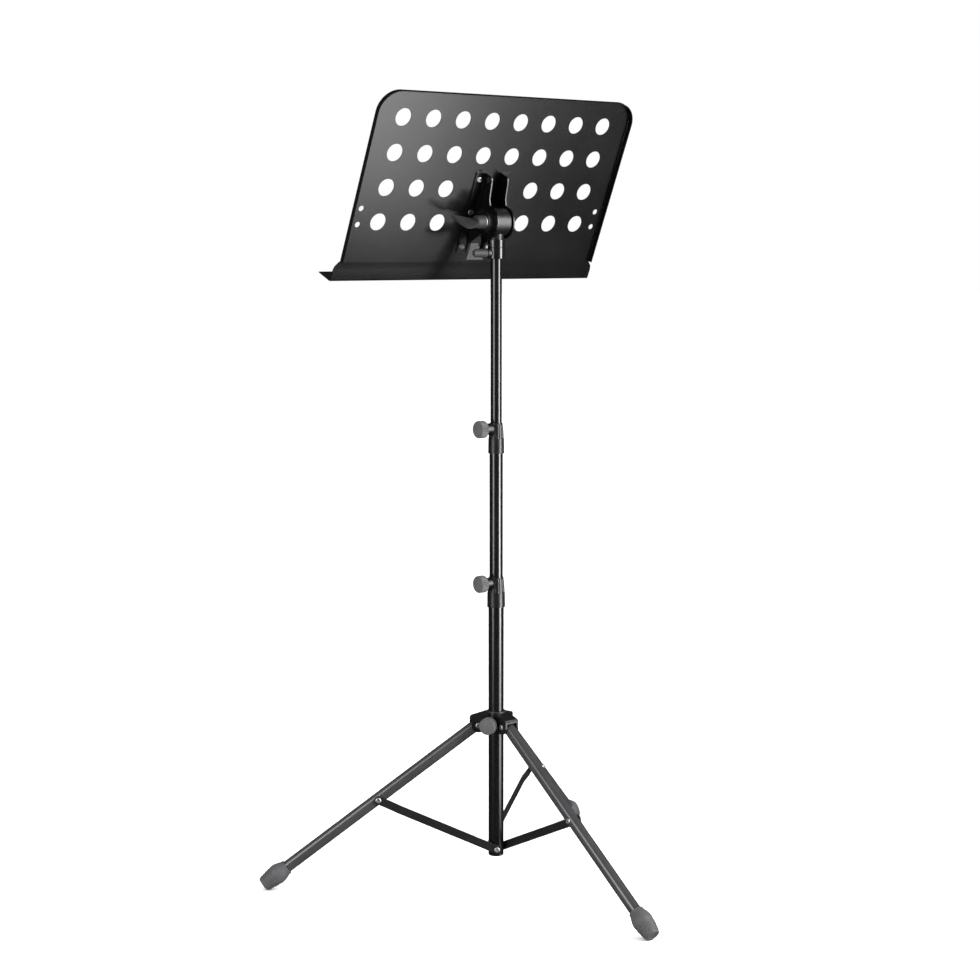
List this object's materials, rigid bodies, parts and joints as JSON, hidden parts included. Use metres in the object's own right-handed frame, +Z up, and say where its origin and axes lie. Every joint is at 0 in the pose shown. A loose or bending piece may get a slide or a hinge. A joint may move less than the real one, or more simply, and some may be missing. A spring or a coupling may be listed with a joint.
{
  "type": "music stand",
  "caption": "Folding music stand: perforated metal desk with a ledge, tilting head, telescopic column and a fold-up tripod base with braced legs.",
  "frame": {"origin": "on the floor, under the axis of the column", "axes": "+Z up along the column; -Y towards the reader, whom the desk faces; +X to the reader's right, where the knobs are"},
  "size_m": [0.5952, 0.5183, 1.1177],
  "materials": {
    "desk_black": "satin black powder coat",
    "tube_black": "semi-gloss black enamel",
    "leg_black": "satin dark grey-black enamel",
    "plastic_black": "moulded matte black plastic",
    "knob_grey": "soft mid-grey moulded plastic",
    "foot_rubber": "dark grey rubber",
    "steel_bright": "bright zinc-plated steel",
    "steel_black": "blackened steel",
    "nylon": "nylon",
    "brass": "plain brass"
  },
  "bodies": {
    "column_base": {"lower_tube": "tube_black", "end_cap": "plastic_black", "brace_pivots": "steel_bright", "lower_collar": "plastic_black", "lower_collar_bush": "nylon", "lower_clamp_insert": "brass"},
    "lower_clamp_pad_slider": {"lower_clamp_pad": "nylon"},
    "lower_clamp_screw": {"lower_clamp_stud": "steel_bright", "lower_clamp_knob": "knob_grey"},
    "middle_section": {"middle_tube": "tube_black", "middle_tube_plug": "nylon", "upper_collar": "plastic_black", "upper_collar_bush": "nylon", "upper_clamp_insert": "brass"},
    "upper_clamp_pad_slider": {"upper_clamp_pad": "nylon"},
    "upper_clamp_screw": {"upper_clamp_stud": "steel_bright", "upper_clamp_knob": "knob_grey"},
    "top_section": {"top_tube": "tube_black", "top_tube_plug": "nylon"},
    "tilting_head": {"tilt_drum": "plastic_black", "socket_sleeve": "tube_black", "friction_washers": "nylon", "socket_insert": "plastic_black"},
    "socket_pad_slider": {"socket_pad": "nylon"},
    "socket_screw": {"socket_stud": "steel_black", "socket_grip": "knob_grey"},
    "desk": {"desk_sheet": "desk_black", "right_bracket": "desk_black", "left_bracket": "desk_black", "desk_rivets": "steel_bright", "tilt_bolt": "steel_bright"},
    "tilt_washer_slider": {"dome_washer": "plastic_black"},
    "tilt_wing_nut": {"tilt_wing_knob": "plastic_black", "tilt_knob_ring": "steel_bright"},
    "hub_slider": {"hub": "plastic_black", "hub_bush": "nylon", "hub_pins": "steel_bright", "hub_clamp_insert": "brass"},
    "hub_clamp_pad_slider": {"hub_clamp_pad": "nylon"},
    "hub_clamp_screw": {"hub_clamp_stud": "steel_bright", "hub_clamp_knob": "knob_grey"},
    "rear_leg": {"rear_leg_tube": "leg_black", "rear_leg_eye": "nylon", "rear_foot": "foot_rubber", "rear_leg_rivet": "steel_bright"},
    "rear_brace_bar": {"rear_brace": "steel_black", "rear_brace_rivet": "steel_bright"},
    "left_leg": {"left_leg_tube": "leg_black", "left_leg_eye": "nylon", "left_foot": "foot_rubber", "left_leg_rivet": "steel_bright"},
    "left_brace_bar": {"left_brace": "steel_black", "left_brace_rivet": "steel_bright"},
    "right_leg": {"right_leg_tube": "leg_black", "right_leg_eye": "nylon", "right_foot": "foot_rubber", "right_leg_rivet": "steel_bright"},
    "right_brace_bar": {"right_brace": "steel_black", "right_brace_rivet": "steel_bright"}
  },
  "joints": [
    {"name": "middle_tube_slide", "type": "slide", "parent": "column_base", "child": "middle_section", "axis": [0, 0, 1], "range_m": [-0.175, 0.105]},
    {"name": "top_tube_slide", "type": "slide", "parent": "middle_section", "child": "top_section", "axis": [0, 0, 1], "range_m": [-0.215, 0.1]},
    {"name": "desk_swivel", "type": "hinge", "parent": "top_section", "child": "tilting_head", "pos_m": [0, 0, 0.908], "axis": [0, 0, 1], "continuous": true},
    {"name": "desk_tilt", "type": "hinge", "parent": "tilting_head", "child": "desk", "pos_m": [0, 0, 0.946], "axis": [-1, 0, 0], "range_deg": [-20, 62]},
    {"name": "lower_clamp_pad_slide", "type": "slide", "parent": "column_base", "child": "lower_clamp_pad_slider", "axis": [1, 0, 0], "range_m": [0, 0.0015]},
    {"name": "lower_clamp_knob_turn", "type": "hinge", "parent": "lower_clamp_pad_slider", "child": "lower_clamp_screw", "pos_m": [0, 0, 0.437], "axis": [1, 0, 0], "range_deg": [0, 540]},
    {"name": "upper_clamp_pad_slide", "type": "slide", "parent": "middle_section", "child": "upper_clamp_pad_slider", "axis": [1, 0, 0], "range_m": [0, 0.0015]},
    {"name": "upper_clamp_knob_turn", "type": "hinge", "parent": "upper_clamp_pad_slider", "child": "upper_clamp_screw", "pos_m": [0, 0, 0.657], "axis": [1, 0, 0], "range_deg": [0, 540]},
    {"name": "hub_clamp_pad_slide", "type": "slide", "parent": "hub_slider", "child": "hub_clamp_pad_slider", "axis": [0.866, 0.5, 0], "range_m": [0, 0.0015]},
    {"name": "hub_clamp_knob_turn", "type": "hinge", "parent": "hub_clamp_pad_slider", "child": "hub_clamp_screw", "pos_m": [0, 0, 0.23452], "axis": [0.866, 0.5, 0], "range_deg": [0, 540]},
    {"name": "socket_pad_slide", "type": "slide", "parent": "tilting_head", "child": "socket_pad_slider", "axis": [1, 0, 0], "range_m": [0, 0.0015]},
    {"name": "socket_grip_turn", "type": "hinge", "parent": "socket_pad_slider", "child": "socket_screw", "pos_m": [0, 0, 0.903], "axis": [1, 0, 0], "range_deg": [0, 540]},
    {"name": "tilt_washer_slide", "type": "slide", "parent": "desk", "child": "tilt_washer_slider", "axis": [1, 0, 0], "range_m": [0, 0.0015]},
    {"name": "tilt_wing_turn", "type": "hinge", "parent": "tilt_washer_slider", "child": "tilt_wing_nut", "pos_m": [0, 0, 0.946], "axis": [1, 0, 0], "range_deg": [0, 540]},
    {"name": "hub_slide", "type": "slide", "parent": "column_base", "child": "hub_slider", "axis": [0, 0, 1], "range_m": [0, 0.14952]},
    {"name": "rear_leg_fold", "type": "hinge", "parent": "hub_slider", "child": "rear_leg", "pos_m": [0, 0.027, 0.23202], "axis": [-1, 0, 0], "range_deg": [0, 33.7]},
    {"name": "rear_brace_fold", "type": "hinge", "parent": "column_base", "child": "rear_brace_bar", "pos_m": [-0.0126, 0, 0.0485], "axis": [1, 0, 0], "range_deg": [0, 37.12]},
    {"name": "left_leg_fold", "type": "hinge", "parent": "hub_slider", "child": "left_leg", "pos_m": [-0.02338, -0.0135, 0.23202], "axis": [0.5, -0.866, 0], "range_deg": [0, 33.7]},
    {"name": "left_brace_fold", "type": "hinge", "parent": "column_base", "child": "left_brace_bar", "pos_m": [0.0063, -0.01091, 0.0485], "axis": [-0.5, 0.866, 0], "range_deg": [0, 37.12]},
    {"name": "right_leg_fold", "type": "hinge", "parent": "hub_slider", "child": "right_leg", "pos_m": [0.02338, -0.0135, 0.23202], "axis": [0.5, 0.866, 0], "range_deg": [0, 33.7]},
    {"name": "right_brace_fold", "type": "hinge", "parent": "column_base", "child": "right_brace_bar", "pos_m": [0.0063, 0.01091, 0.0485], "axis": [-0.5, -0.866, 0], "range_deg": [0, 37.12]}
  ],
  "couplings": [
    {"joint": "lower_clamp_pad_slide", "follows": "lower_clamp_knob_turn", "m_per_rad": 0.00015915},
    {"joint": "upper_clamp_pad_slide", "follows": "upper_clamp_knob_turn", "m_per_rad": 0.00015915},
    {"joint": "hub_clamp_pad_slide", "follows": "hub_clamp_knob_turn", "m_per_rad": 0.00015915},
    {"joint": "socket_pad_slide", "follows": "socket_grip_turn", "m_per_rad": 0.00015915},
    {"joint": "tilt_washer_slide", "follows": "tilt_wing_turn", "m_per_rad": 0.00015915},
    {"joint": "rear_leg_fold", "follows": "hub_slide", "rad_per_m": 3.9336},
    {"joint": "rear_brace_fold", "follows": "hub_slide", "rad_per_m": 4.3324},
    {"joint": "left_leg_fold", "follows": "hub_slide", "rad_per_m": 3.9336},
    {"joint": "left_brace_fold", "follows": "hub_slide", "rad_per_m": 4.3324},
    {"joint": "right_leg_fold", "follows": "hub_slide", "rad_per_m": 3.9336},
    {"joint": "right_brace_fold", "follows": "hub_slide", "rad_per_m": 4.3324}
  ]
}
